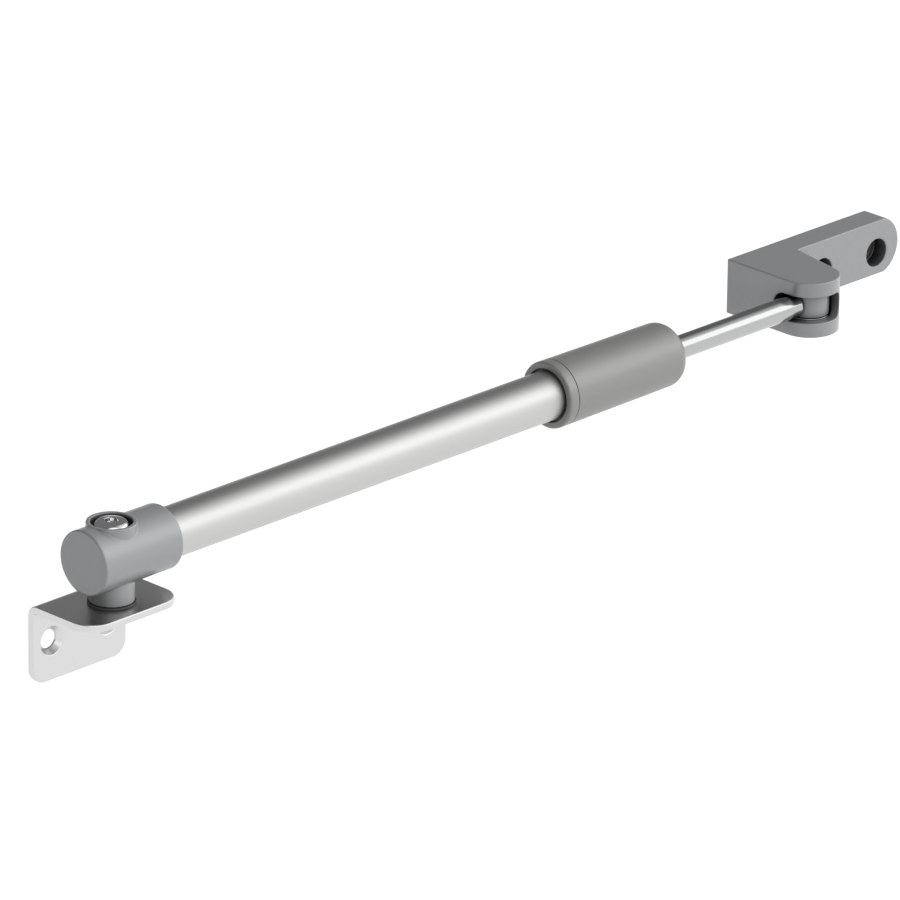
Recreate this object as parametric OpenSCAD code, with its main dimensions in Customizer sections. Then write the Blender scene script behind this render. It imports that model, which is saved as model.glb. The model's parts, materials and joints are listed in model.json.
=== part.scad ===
// Telescopic window stay: a wall bracket with an upright pin, an aluminium tube with a steel rod
// that slides and turns in it, a twist grip that clamps the rod, and a forked sash bracket.
// The origin is midway between the wall bracket's screw holes, on its back face.
// X runs along the stay, Y goes into the frame that the bracket is screwed to, Z is up.

/* [Stay as shown] */
// Distance between the two upright pins
pin_to_pin = 308; // [290:0.5:400]
// Running clearance on the radius of every turning or sliding fit
fit = 0.05; // [0.02:0.01:0.09]
// Clearance on the radius of pieces that are pressed or glued together
seat = 0.02; // [0.01:0.01:0.05]

/* [Wall bracket] */
// Thickness of the bent sheet
sheet_t = 2.4; // [1.5:0.1:3]
// Width of the bracket along the stay
bracket_w = 38.6; // [34:0.2:60]
// Inner radius of the bend
bend_r = 1.6; // [0.8:0.2:4]
// Height of the tube axis above the screw holes
axis_up = 29.5; // [28:0.5:45]
// Distance of the pin from the wall
axis_out = 16.5; // [14:0.5:30]
// Drop from the tube axis to the top of the shelf
shelf_drop = 15.8; // [14:0.1:17]
// Reach of the shelf in front of the pin
shelf_reach = 11.8; // [10:0.2:25]
// Length of the leaf below its screw holes
leaf_below = 12.9; // [9:0.1:30]
// Corner radius of the leaf
leaf_corner = 5; // [1:0.5:7]
// Corner radius of the shelf
shelf_corner = 8; // [1:0.5:9]
// Distance between the two screw holes
wall_pitch = 23; // [14:0.5:24]
// Diameter of the screw holes
wall_hole_d = 6; // [4:0.1:7]
// Diameter of the countersink at the front
wall_sink_d = 9.6; // [8:0.1:10]

/* [Wall pin] */
// Shank diameter of the shoulder screw
screw_d = 6; // [4:0.1:6.4]
// Diameter of its domed head
screw_head_d = 12.4; // [10:0.1:12.8]
// Height of the straight edge of the head
screw_head_t = 1.5; // [1:0.1:3]
// Rise of the dome above that edge
screw_dome = 1.3; // [0.6:0.1:2]
// Hexagon key size across the flats
screw_key = 4; // [3:0.5:5]
// Depth of the key socket
screw_key_depth = 1.9; // [1:0.1:2.2]
// Hexagon nut size across the flats
nut_af = 10; // [9:0.5:13]
// Thickness of the thin nut
nut_t = 3; // [2:0.1:6]
// Thickness of the toothed washer above the nut
lock_washer_t = 0.5; // [0.3:0.1:1]
// Outer diameter of that washer
lock_washer_d = 11; // [9:0.5:14]

/* [End head] */
// Diameter of the barrel that holds the tube
head_d = 20.8; // [19.4:0.1:24]
// Reach of the barrel behind the pin
head_back = 11.7; // [8.6:0.1:16]
// Reach of the barrel in front of the pin
head_front = 20.4; // [17:0.1:30]
// Edge radius of the closed end
head_round = 0.6; // [0.4:0.1:3]
// Edge chamfer of the tube end
head_chamfer = 0.7; // [0.2:0.1:1.2]
// Diameter of the boss round the screw head
boss_d = 15.7; // [15:0.1:18]
// Height of the boss above the tube axis
boss_top = 10.7; // [10.5:0.1:14]
// Depth of the recess for the screw head
boss_recess = 2.7; // [2:0.1:3.2]
// Diameter of the foot that stands on the shelf
foot_d = 14.2; // [11:0.1:16]
// Distance from the pin to the floor of the tube socket
socket_start = 8.5; // [7:0.1:9.5]

/* [Bushes] */
// Wall of the bushes round the shank
bush_wall = 1; // [0.6:0.1:1.4]
// Flange thickness of the bushes
bush_flange_t = 0.8; // [0.4:0.1:1.4]
// Length of each bush inside the head
bush_l = 8; // [4:0.5:9.5]
// Flange diameter of the lower bush
foot_flange_d = 15; // [12:0.1:17]

/* [Tube] */
// Outer diameter
tube_d = 16; // [15.4:0.1:16.4]
// Wall thickness
tube_wall = 1.2; // [1:0.1:1.5]
// Length of the tube
tube_l = 205.5; // [190:0.5:215]
// Distance from the pin to the cross pin that locks the tube in the head
cross_pin_x = 14.5; // [12:0.1:16]
// Diameter of the cross pin
cross_pin_d = 3; // [2:0.1:4]
// Bore of the hollow cross pin
cross_pin_bore = 1.4; // [0.6:0.1:1.8]

/* [Grip] */
// Length of the grip with its end ring
grip_l = 54.9; // [51.5:0.1:70]
// How far the tube reaches into the grip
grip_cover = 26.7; // [24:0.1:32]
// Wall of the grip at the tube end
grip_wall_near = 1.65; // [1.2:0.05:3]
// Wall of the grip at the rod end, over the same bore
grip_wall_far = 1.25; // [1:0.05:3]
// Edge radius at the rod end
grip_round = 4.4; // [1:0.1:4.8]
// Edge radius at the tube end
ring_round = 0.8; // [0.3:0.1:1.4]
// Length of the separate end ring
ring_l = 3.7; // [2.5:0.1:5]
// Depth of the spigot that holds the ring in the sleeve
ring_spigot = 3; // [2:0.1:4]
// Width of the fine joint between ring and sleeve
joint_gap = 0.15; // [0.05:0.05:0.4]
// Wall of the slide bush between sleeve and tube
slide_bush_wall = 1.23; // [1.13:0.05:1.68]
// Wall of its lip inside the end ring
slide_lip_wall = 0.63; // [0.43:0.05:0.78]
// Length of the slide bush behind the ring
slide_bush_l = 8; // [5:0.5:10]
// Clearance round the rod in the end wall of the grip
rod_window = 0.3; // [0.1:0.1:1]

/* [Clamp inside the grip] */
// Length of the lock body inside the tube
lock_spigot = 14; // [10:0.5:18]
// Thickness of its collar
lock_collar = 2.5; // [1.5:0.1:4]
// Outer diameter of its threaded neck
lock_neck_d = 13.6; // [12.8:0.1:14]
// Length of its threaded neck
lock_neck = 9.5; // [7:0.1:10]
// Length of the collet
collet_l = 6; // [4:0.1:7]
// Diameter of the collet at its wide end
collet_d = 13; // [12:0.1:13.4]
// Diameter of the collet at its narrow end
collet_d_far = 10.6; // [10:0.1:11.5]
// Width of each slit in the collet
collet_slit = 0.8; // [0.4:0.1:1.4]
// Number of slits in the collet
collet_slits = 4; // [3:1:6]
// Thickness of the rod wiper
wiper_t = 1.6; // [1:0.1:2]
// Outer diameter of the rod wiper
wiper_d = 12.4; // [11:0.1:13]
// Length of the guide bush in the lock body
guide_l = 12; // [8:0.5:16]
// Wall of the guide bush
guide_wall = 1.1; // [0.8:0.1:1.3]

/* [Rod and piston] */
// Diameter of the rod
rod_d = 7.8; // [7.4:0.1:8]
// Length of the rod between its two shoulders
rod_l = 209; // [200:0.5:215]
// Chamfer at the shoulders of the rod
rod_chamfer = 0.6; // [0.2:0.1:1]
// Diameter of the turned-down neck that carries the piston
neck_d = 6; // [5:0.1:6.4]
// Length of the piston
piston_l = 12; // [8:0.5:16]
// Width of the seal groove
groove_w = 2.6; // [2:0.1:3]
// Depth of the seal groove
groove_depth = 1.7; // [1.2:0.1:2.2]
// Diameter of the piston screw's thread
end_screw_d = 3; // [2:0.1:3.5]
// Head diameter of the piston screw
end_screw_head_d = 6.4; // [5:0.1:8]
// Head height of the piston screw
end_screw_head_t = 2.2; // [1.5:0.1:3]
// Depth of the piston screw in the rod
end_screw_depth = 8; // [5:0.5:11]
// Outer diameter of the piston washer
end_washer_d = 10; // [8:0.1:12]
// Thickness of the piston washer
end_washer_t = 1; // [0.5:0.1:1.5]

/* [Sash bracket] */
// Height of the bracket
plate_h = 18.6; // [17:0.1:24]
// Thickness of the plate
plate_t = 9.7; // [7:0.1:12]
// Distance from the pin to the back face
plate_back = 27.1; // [23:0.1:34]
// Distance from the pin to the centre of the round end
plate_reach = 52; // [44:0.5:80]
// Radius of the nose round the pin
nose_r = 9.8; // [9.2:0.1:12]
// Extra width of the nose where it meets the plate
nose_flare = 3.2; // [0:0.1:4]
// Distance from the pin to the outer screw hole
sash_hole_x = 51; // [46:0.5:60]
// Distance between the two screw holes
sash_pitch = 26; // [16:0.5:27]
// Drop of the screw holes below mid height
sash_hole_drop = 1.8; // [0:0.1:3]
// Diameter of the counterbore
sash_sink_d = 9.5; // [8:0.1:11]
// Depth of the counterbore
sash_sink_depth = 5.5; // [3:0.1:6]
// Diameter of the screw holes behind it
sash_hole_d = 5.5; // [4:0.1:6.5]

/* [Fork and swivel] */
// Height of the slot for the rod
slot_h = 8.8; // [8.2:0.1:9.4]
// Angle that the slot reaches behind the stay's line
slot_back = 12; // [0:1:25]
// Angle that the slot reaches round the front
slot_front = 104; // [60:1:120]
// Radius of the pocket round the swivel
pocket_r = 7; // [6.6:0.1:7.6]
// Diameter of the swivel barrel
barrel_d = 13; // [11:0.1:13.2]
// Thickness of the thrust washers
thrust_t = 0.4; // [0.2:0.1:0.8]
// Outer diameter of the thrust washers
thrust_d = 13.4; // [12:0.1:13.6]
// Diameter of the sash pin
sash_pin_d = 5; // [4:0.1:5.4]
// Depth of the pin's blind hole in the upper ear
pin_depth_top = 3.2; // [2:0.1:3.8]
// Recess of the pin below the lower ear
pin_recess = 0.4; // [0:0.1:1.5]
// Gap between the rod's shoulder and the barrel
shoulder_gap = 0.1; // [0.05:0.05:0.5]
// Diameter of the rod's neck in the barrel
tenon_d = 5.4; // [4:0.1:6]
// Wall left between the rod's neck and the sash pin
tenon_wall = 0.5; // [0.2:0.1:1]

/* [Hidden] */
$fn = 96;
eps = 0.01;
// Faces that turn on each other lie this far apart
face_gap = 0.05;

// Wall bracket heights, from the screw holes
shelf_top = axis_up - shelf_drop;
shelf_low = shelf_top - sheet_t;
shelf_front = axis_out + shelf_reach;
bend_outer = bend_r + sheet_t;

// Wall pin and end head, from the crossing of tube axis and pin
foot_low = -shelf_drop + face_gap + bush_flange_t;
recess_floor = boss_top - boss_recess;
screw_seat = recess_floor + bush_flange_t + face_gap;
screw_end = -shelf_drop - sheet_t - lock_washer_t - nut_t - 0.3;
bush_r = screw_d / 2 + fit;
head_bore_r = bush_r + bush_wall + seat;
recess_r = screw_head_d / 2 + 0.35;

// Places along the stay, from the wall pin
tube_start = socket_start + eps;
tube_end = tube_start + tube_l;
tube_bore = tube_d - 2 * tube_wall;
grip_start = tube_end - grip_cover;
grip_end = grip_start + grip_l;
sleeve_start = grip_start + ring_l + joint_gap;
lock_start = tube_end - lock_spigot;
neck_start = tube_end + lock_collar;
neck_end = neck_start + lock_neck;
collet_start = neck_end + face_gap;
collet_end = collet_start + collet_l;
cone_end = collet_end + 0.4;
wiper_start = cone_end + 0.3;
guide_r = rod_d / 2 + fit;
lock_bore_r = guide_r + guide_wall + seat;
sleeve_bore_r = tube_d / 2 + fit + slide_bush_wall + seat;
ring_bore_r = tube_d / 2 + fit + slide_lip_wall + seat;
grip_r_near = sleeve_bore_r + grip_wall_near;
grip_r_far = sleeve_bore_r + grip_wall_far;
cone_r = sleeve_bore_r - seat;
cone_start = tube_end + 0.6;
collar_r = tube_d / 2;

// Rod, piston and swivel
barrel_r = barrel_d / 2;
rod_end = pin_to_pin - barrel_r - shoulder_gap;
rod_start = rod_end - rod_l;
piston_end = rod_start - face_gap;
piston_start = piston_end - piston_l;
neck_tip = piston_start - face_gap;
piston_r = tube_bore / 2 - fit;
barrel_h = slot_h - 2 * thrust_t - 4 * face_gap;
thrust_low = -slot_h / 2 + face_gap / 2;
plate_front = plate_back - plate_t;
pin_top = slot_h / 2 + pin_depth_top - 0.2;
pin_low = -plate_h / 2 + pin_recess;
tenon_end = -sash_pin_d / 2 - tenon_wall;
// Angle between the flat sweep of the slot and the middle of each round end
sweep_trim = 3;

// Puts a piece that is drawn about the crossing of tube axis and wall pin in its place
module at_wall_pin() translate([0, -axis_out, axis_up]) children();
// The same about the sash pin
module at_sash_pin() translate([pin_to_pin, -axis_out, axis_up]) children();
// Turns a profile about the stay's line: its x is the radius, its y the place along the stay
module turned() rotate([0, 90, 0]) rotate_extrude() children();
// One plain step of a turned profile
module step(x0, x1, r0, r1) translate([r0, x0]) square([r1 - r0, x1 - x0]);
// A ring or plain washer about an upright axis, standing on z
module ring(z, h, r_out, r_in) translate([0, 0, z]) difference() {
    cylinder(h = h, r = r_out);
    translate([0, 0, -1]) cylinder(h = h + 2, r = r_in);
}
// A bar that rounds one upright corner of a sheet when it is cut away
module corner_cut(r, h) difference() {
    translate([0, 0, -1]) cube([r + 1, r + 1, h + 2]);
    translate([0, 0, -2]) cylinder(h = h + 4, r = r);
}

// The bent sheet seen from its end: leaf down the wall, shelf to the front, true bend between
module bracket_section() difference() {
    union() {
        translate([-sheet_t, -leaf_below]) square([sheet_t, leaf_below + shelf_top - bend_outer]);
        translate([-shelf_front, shelf_low]) square([shelf_front - bend_outer, sheet_t]);
        intersection() {
            translate([-bend_outer, shelf_top - bend_outer]) circle(bend_outer);
            translate([-bend_outer, shelf_top - bend_outer]) square(bend_outer);
        }
    }
    translate([-bend_outer, shelf_top - bend_outer]) circle(bend_r);
}

// One countersunk screw hole through the leaf
module wall_hole() rotate([90, 0, 0]) {
    translate([0, 0, -1]) cylinder(h = sheet_t + 2, d = wall_hole_d);
    sink = (wall_sink_d - wall_hole_d) / 2;
    translate([0, 0, sheet_t - sink]) cylinder(h = sink, d1 = wall_hole_d, d2 = wall_sink_d);
    translate([0, 0, sheet_t - eps]) cylinder(h = 1, d = wall_sink_d);
}

module frame_bracket() color("gainsboro") difference() {
    rotate([90, 0, 90]) linear_extrude(bracket_w, center = true) bracket_section();
    for (side = [-1, 1]) {
        translate([side * wall_pitch / 2, 0, 0]) wall_hole();
        translate([side * (bracket_w / 2 - shelf_corner), shelf_corner - shelf_front, shelf_low])
            mirror([side < 0 ? 1 : 0, 0, 0]) mirror([0, 1, 0]) corner_cut(shelf_corner, sheet_t);
        translate([side * (bracket_w / 2 - leaf_corner), 0, leaf_corner - leaf_below])
            mirror([side < 0 ? 1 : 0, 0, 0]) mirror([0, 0, 1]) rotate([90, 0, 0])
                corner_cut(leaf_corner, sheet_t);
    }
    at_wall_pin() translate([0, 0, -shelf_drop - sheet_t - 1])
        cylinder(h = sheet_t + 2, r = screw_d / 2 + seat);
}

// Shoulder screw with a low dome and a hexagon socket
module pivot_screw() color("silver") at_wall_pin() difference() {
    union() {
        translate([0, 0, screw_end]) cylinder(h = screw_seat - screw_end + eps, d = screw_d);
        translate([0, 0, screw_seat]) cylinder(h = screw_head_t, d = screw_head_d);
        dome_r = (pow(screw_head_d / 2, 2) + pow(screw_dome, 2)) / (2 * screw_dome);
        intersection() {
            translate([0, 0, screw_seat + screw_head_t + screw_dome - dome_r]) sphere(dome_r);
            translate([0, 0, screw_seat + screw_head_t - eps])
                cylinder(h = screw_dome + 1, d = screw_head_d);
        }
    }
    translate([0, 0, screw_seat + screw_head_t + screw_dome - screw_key_depth])
        cylinder(h = screw_key_depth + 1, d = screw_key / cos(30), $fn = 6);
}

module lock_washer() color("dimgray") at_wall_pin()
    ring(-shelf_drop - sheet_t - lock_washer_t, lock_washer_t, lock_washer_d / 2,
         screw_d / 2 + 0.2);

// Thin hexagon nut with both faces chamfered
module pivot_nut() color("silver") at_wall_pin()
    translate([0, 0, -shelf_drop - sheet_t - lock_washer_t - nut_t]) difference() {
        intersection() {
            cylinder(h = nut_t, d = nut_af / cos(30), $fn = 6);
            corner = (nut_af / cos(30) - nut_af) / 2;
            rotate_extrude() polygon([[0, 0], [nut_af / 2, 0], [nut_af / 2 + corner, corner / 2],
                [nut_af / 2 + corner, nut_t - corner / 2], [nut_af / 2, nut_t], [0, nut_t]]);
        }
        translate([0, 0, -1]) cylinder(h = nut_t + 2, r = screw_d / 2 + seat);
    }

// Cast head: lying barrel with a rounded closed end, boss above and foot below
module end_head() color("slategray") at_wall_pin() difference() {
    union() {
        turned() difference() {
            union() {
                step(-head_back + head_round, head_front, 0, head_d / 2);
                step(-head_back, -head_back + head_round, 0, head_d / 2 - head_round);
                translate([head_d / 2 - head_round, -head_back + head_round]) circle(head_round);
            }
            polygon([[head_d / 2 - head_chamfer, head_front + eps],
                [head_d / 2 + 1, head_front + eps],
                [head_d / 2 + 1, head_front - head_chamfer - 1]]);
            translate([-30, -30]) square([30, 60]);
        }
        cylinder(h = boss_top, d = boss_d);
        translate([0, 0, foot_low]) cylinder(h = -foot_low, d = foot_d);
    }
    translate([0, 0, recess_floor]) cylinder(h = boss_recess + 1, r = recess_r);
    translate([0, 0, foot_low - 1]) cylinder(h = boss_top - foot_low + 2, r = head_bore_r);
    turned() step(socket_start, head_front + 1, 0, tube_d / 2 + seat);
    translate([cross_pin_x, 0, -head_d / 2 - 1]) cylinder(h = head_d / 2, d = cross_pin_d + 2 * seat);
}

module upper_bush() color("dimgray") at_wall_pin() difference() {
    union() {
        translate([0, 0, recess_floor - bush_l])
            cylinder(h = bush_l + eps, r = bush_r + bush_wall);
        translate([0, 0, recess_floor]) cylinder(h = bush_flange_t, r = recess_r - 0.1);
    }
    translate([0, 0, -30]) cylinder(h = 60, r = bush_r);
}

module lower_bush() color("dimgray") at_wall_pin() difference() {
    union() {
        translate([0, 0, foot_low - eps]) cylinder(h = bush_l + eps, r = bush_r + bush_wall);
        translate([0, 0, foot_low - bush_flange_t])
            cylinder(h = bush_flange_t, d = foot_flange_d);
    }
    translate([0, 0, -30]) cylinder(h = 60, r = bush_r);
}

module outer_tube() color("lightgray") at_wall_pin() difference() {
    turned() step(tube_start, tube_end, tube_bore / 2, tube_d / 2);
    translate([cross_pin_x, 0, -tube_d]) cylinder(h = tube_d, d = cross_pin_d + 2 * seat);
}

// Rolled spring pin, driven in from below through head and tube wall
module tube_pin() color("gray") at_wall_pin() translate([cross_pin_x, 0, 0])
    ring(-head_d / 2 + 0.3, (head_d - tube_bore) / 2 + 0.3, cross_pin_d / 2, cross_pin_bore / 2);

// Turned lock body: spigot in the tube, collar against its mouth, threaded neck in front
module lock_body() color("darkgoldenrod") at_wall_pin() turned() difference() {
    union() {
        step(lock_start, tube_end + eps, 0, tube_bore / 2 - seat);
        step(tube_end + eps, neck_start, 0, collar_r);
        step(neck_start - eps, neck_end, 0, lock_neck_d / 2);
    }
    step(lock_start - 1, lock_start + guide_l, 0, lock_bore_r);
    step(lock_start, neck_end + 1, 0, guide_r + 0.2);
}

// Plain guide bush with a flange that also stops the piston
module guide_bush() color("ivory") at_wall_pin() turned() {
    step(lock_start - bush_flange_t, lock_start, guide_r, tube_bore / 2 - 0.2);
    step(lock_start - eps, lock_start + guide_l - 0.1, guide_r, guide_r + guide_wall);
}

// Split collet: its taper is squeezed onto the rod when the grip is turned
module collet() color("ivory") at_wall_pin() difference() {
    turned() polygon([[guide_r, collet_start], [collet_d / 2, collet_start],
        [collet_d / 2, collet_start + 1], [collet_d_far / 2, collet_end], [guide_r, collet_end]]);
    for (k = [0:collet_slits - 1])
        rotate([360 / collet_slits * k, 0, 0])
            translate([collet_start + 1.2, -collet_slit / 2, 0]) cube([collet_l, collet_slit, collet_d]);
}

module piston() color("ivory") at_wall_pin() turned() difference() {
    step(piston_start, piston_end, neck_d / 2 + fit, piston_r);
    translate([piston_r - groove_depth, (piston_start + piston_end - groove_w) / 2])
        square([groove_depth + 1, groove_w]);
}

// Round seal that sits in the piston's groove and rubs on the tube
module piston_seal() color("dimgray") at_wall_pin() turned()
    intersection() {
        seal_r = groove_w / 2 - 0.1;
        translate([piston_r - groove_depth + seal_r, (piston_start + piston_end) / 2])
            circle(seal_r);
        step(piston_start, piston_end, 0, piston_r);
    }

// Grip sleeve: slightly tapered, well rounded at the rod end, bored for lock, bush and wiper
module grip_sleeve() color("slategray") at_wall_pin() turned() difference() {
    union() {
        r_near = grip_r_near + (grip_r_far - grip_r_near) * ring_l / grip_l;
        polygon([[0, sleeve_start], [r_near - 0.15, sleeve_start], [r_near, sleeve_start + 0.15],
            [grip_r_far, grip_end - grip_round], [0, grip_end - grip_round]]);
        translate([grip_r_far - grip_round, grip_end - grip_round]) circle(grip_round);
        step(grip_end - grip_round - eps, grip_end, 0, grip_r_far - grip_round);
    }
    translate([-60, 0]) square([60, 400]);
    step(0, cone_end + seat, 0, sleeve_bore_r);
    step(cone_end, wiper_start + wiper_t, 0, wiper_d / 2 + seat);
    step(wiper_start, grip_end + 1, 0, rod_d / 2 + rod_window);
}

module grip_ring() color("slategray") at_wall_pin() turned() difference() {
    union() {
        step(grip_start + ring_round, grip_start + ring_l, ring_bore_r, grip_r_near);
        step(grip_start, grip_start + ring_round + eps, ring_bore_r, grip_r_near - ring_round);
        translate([grip_r_near - ring_round, grip_start + ring_round]) circle(ring_round);
        step(grip_start, grip_start + ring_l + ring_spigot, ring_bore_r, sleeve_bore_r - seat);
    }
    polygon([[grip_r_near - 0.15, grip_start + ring_l + eps],
        [grip_r_near + 1, grip_start + ring_l + eps],
        [grip_r_near + 1, grip_start + ring_l - 1.15]]);
}

// Slide bush that carries the grip on the tube
module slide_bush() color("dimgray") at_wall_pin() turned() {
    bush_start = grip_start + ring_l + ring_spigot + 0.1;
    step(bush_start, bush_start + slide_bush_l, tube_d / 2 + fit, sleeve_bore_r - seat);
    step(grip_start + 1, bush_start + eps, tube_d / 2 + fit, ring_bore_r - seat);
}

// Brass cone in the grip: threaded on the neck, tapered over the collet
module clamp_cone() color("darkgoldenrod") at_wall_pin() turned() difference() {
    step(cone_start, cone_end, 0, cone_r);
    step(cone_start - 1, neck_start + 0.1, 0, collar_r + 0.15);
    step(neck_start, collet_start + 1.1, 0, lock_neck_d / 2 + fit);
    polygon([[0, collet_start + 1], [collet_d / 2 + fit, collet_start + 1],
        [collet_d_far / 2 + fit, collet_end], [collet_d_far / 2 + fit, cone_end + 1],
        [0, cone_end + 1]]);
}

module rod_wiper() color("black") at_wall_pin() turned()
    step(wiper_start, wiper_start + wiper_t - 0.05, rod_d / 2 + fit, wiper_d / 2);

// Steel rod with a neck for the piston at one end and a tenon for the barrel at the other
module inner_rod() color("silver") at_wall_pin() turned() difference() {
    union() {
        polygon([[0, rod_start], [rod_d / 2 - rod_chamfer, rod_start],
            [rod_d / 2, rod_start + rod_chamfer], [rod_d / 2, rod_end - rod_chamfer],
            [rod_d / 2 - rod_chamfer, rod_end], [0, rod_end]]);
        step(neck_tip, rod_start + eps, 0, neck_d / 2);
        step(rod_end - eps, pin_to_pin + tenon_end, 0, tenon_d / 2);
    }
    step(neck_tip - 1, neck_tip + end_screw_depth + 0.2, 0, end_screw_d / 2 + seat);
}

module piston_washer() color("silver") at_wall_pin() turned()
    step(neck_tip - end_washer_t, neck_tip, end_screw_d / 2 + 0.1, end_washer_d / 2);

module piston_screw() color("silver") at_wall_pin() {
    head_x = neck_tip - end_washer_t - end_screw_head_t;
    difference() {
        turned() {
            step(head_x, neck_tip - end_washer_t, 0, end_screw_head_d / 2);
            step(neck_tip - end_washer_t - eps, neck_tip + end_screw_depth, 0, end_screw_d / 2);
        }
        translate([head_x - 1, 0, 0]) rotate([0, 90, 0])
            cylinder(h = 1 + end_screw_head_t * 0.6, d = end_screw_head_d * 0.45, $fn = 6);
    }
}

// Barrel that swings on the sash pin and holds the rod's tenon
module swivel_barrel() color("slategray") at_sash_pin() difference() {
    translate([0, 0, -barrel_h / 2]) cylinder(h = barrel_h, d = barrel_d);
    translate([0, 0, -plate_h]) cylinder(h = 2 * plate_h, r = sash_pin_d / 2 + fit);
    rotate([0, -90, 0]) cylinder(h = barrel_d, d = tenon_d + 2 * seat);
}

// The slot that the rod swings in: a flat sweep with a round end at each limit of the swing, and
// the swivel's pocket. The sweep's edges stop just short of the round ends' middles.
module rod_slot() {
    reach = 2 * nose_r;
    first = 180 - slot_back;
    last = 180 + slot_front;
    fan_steps = 4;
    fan = [for (k = [0:fan_steps])
        let (a = first + sweep_trim + (last - first - 2 * sweep_trim) * k / fan_steps)
            reach * [cos(a), sin(a)]];
    translate([0, 0, -slot_h / 2]) linear_extrude(slot_h) {
        polygon(concat([[0, 0]], fan));
        circle(pocket_r);
    }
    for (a = [first, last])
        rotate([0, 0, a]) rotate([0, 90, 0]) cylinder(h = reach, r = slot_h / 2 - fit);
}

// One counterbored screw hole, opening to the front
module sash_hole() {
    rotate([-90, 0, 0]) cylinder(h = plate_back + 1, d = sash_hole_d);
    translate([0, plate_front + sash_sink_depth, 0]) rotate([90, 0, 0])
        cylinder(h = plate_back, d = sash_sink_d);
}

// Cast sash bracket: round-ended plate, and a nose that is slotted into a fork
module sash_bracket() color("slategray") at_sash_pin() difference() {
    union() {
        translate([0, plate_back, 0]) rotate([90, 0, 0]) linear_extrude(plate_t) {
            translate([-nose_r, -plate_h / 2]) square([nose_r + plate_reach, plate_h]);
            translate([plate_reach, 0]) circle(d = plate_h);
        }
        translate([0, 0, -plate_h / 2]) linear_extrude(plate_h) {
            circle(nose_r);
            polygon([[-nose_r, 0], [nose_r, 0], [nose_r + nose_flare, plate_front + eps],
                [-nose_r, plate_front + eps]]);
        }
    }
    rod_slot();
    translate([0, 0, -plate_h]) cylinder(h = plate_h, r = sash_pin_d / 2 + seat);
    cylinder(h = slot_h / 2 + pin_depth_top, r = sash_pin_d / 2 + seat);
    for (x = [sash_hole_x, sash_hole_x - sash_pitch])
        translate([x, 0, -sash_hole_drop]) sash_hole();
}

module sash_pin() color("silver") at_sash_pin()
    translate([0, 0, pin_low]) cylinder(h = pin_top - pin_low, d = sash_pin_d);

// One thrust washer of the fork, between barrel and ear
module thrust_washer() ring(thrust_low, thrust_t, thrust_d / 2, sash_pin_d / 2 + 0.1);

module upper_thrust_washer() color("silver") at_sash_pin() mirror([0, 0, 1]) thrust_washer();
module lower_thrust_washer() color("silver") at_sash_pin() thrust_washer();

frame_bracket();
pivot_screw();
lock_washer();
pivot_nut();
end_head();
upper_bush();
lower_bush();
outer_tube();
tube_pin();
lock_body();
guide_bush();
collet();
piston();
piston_seal();
grip_sleeve();
grip_ring();
slide_bush();
clamp_cone();
rod_wiper();
inner_rod();
piston_washer();
piston_screw();
swivel_barrel();
sash_bracket();
sash_pin();
upper_thrust_washer();
lower_thrust_washer();
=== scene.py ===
# %% [markdown]
# Telescopic window stay: the whole dressed model.
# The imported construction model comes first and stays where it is. Every piece made below takes its
# size and place from it, stands for the node of the same name, and rides on the same moving body.
# Sizes are written in millimetres and turned to metres when a mesh is made.

# %% Load the frame
import itertools
import json
import math

import bmesh
import bpy
import numpy as np
from mathutils import Matrix, Vector


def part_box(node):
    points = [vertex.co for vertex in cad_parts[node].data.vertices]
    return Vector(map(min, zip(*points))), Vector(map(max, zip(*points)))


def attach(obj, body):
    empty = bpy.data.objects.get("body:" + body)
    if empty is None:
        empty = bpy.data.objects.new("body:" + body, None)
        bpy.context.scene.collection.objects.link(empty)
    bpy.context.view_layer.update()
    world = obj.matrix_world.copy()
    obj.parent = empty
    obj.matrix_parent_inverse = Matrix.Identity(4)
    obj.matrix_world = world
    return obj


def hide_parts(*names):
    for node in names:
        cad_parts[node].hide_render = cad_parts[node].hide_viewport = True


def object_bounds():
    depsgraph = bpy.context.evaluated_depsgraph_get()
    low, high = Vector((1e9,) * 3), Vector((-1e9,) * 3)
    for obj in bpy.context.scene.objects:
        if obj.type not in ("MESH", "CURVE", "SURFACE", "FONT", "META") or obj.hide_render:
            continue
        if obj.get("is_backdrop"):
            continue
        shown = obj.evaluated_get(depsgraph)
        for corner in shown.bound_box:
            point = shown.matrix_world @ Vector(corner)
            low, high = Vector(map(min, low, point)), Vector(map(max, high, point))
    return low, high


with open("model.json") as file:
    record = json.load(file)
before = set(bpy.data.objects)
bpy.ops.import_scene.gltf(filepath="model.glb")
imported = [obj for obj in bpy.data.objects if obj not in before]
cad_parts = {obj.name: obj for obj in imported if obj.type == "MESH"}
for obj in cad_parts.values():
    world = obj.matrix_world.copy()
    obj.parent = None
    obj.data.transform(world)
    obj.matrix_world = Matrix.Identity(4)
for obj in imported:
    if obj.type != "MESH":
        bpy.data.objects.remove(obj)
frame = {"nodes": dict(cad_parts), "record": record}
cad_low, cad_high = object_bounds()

MM = 0.001
print("CAD box in mm:", [round((b - a) / MM, 1) for a, b in zip(cad_low, cad_high)])

# %% [markdown]
# Most pieces are drawn about one point: where the tube's axis crosses the upright wall pin. The
# axis is the middle of the tube's box, and the second pin stands in the middle of the barrel's box.

# %% Find the axis and the two pins
def box_mm(node):
    """Lowest and highest corner of a CAD node in millimetres, as arrays."""
    low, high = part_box(node)
    return np.array(low) / MM, np.array(high) / MM


def box_from(node, pin):
    """The same two corners, measured from a pin."""
    low, high = box_mm(node)
    return low - pin, high - pin


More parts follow.
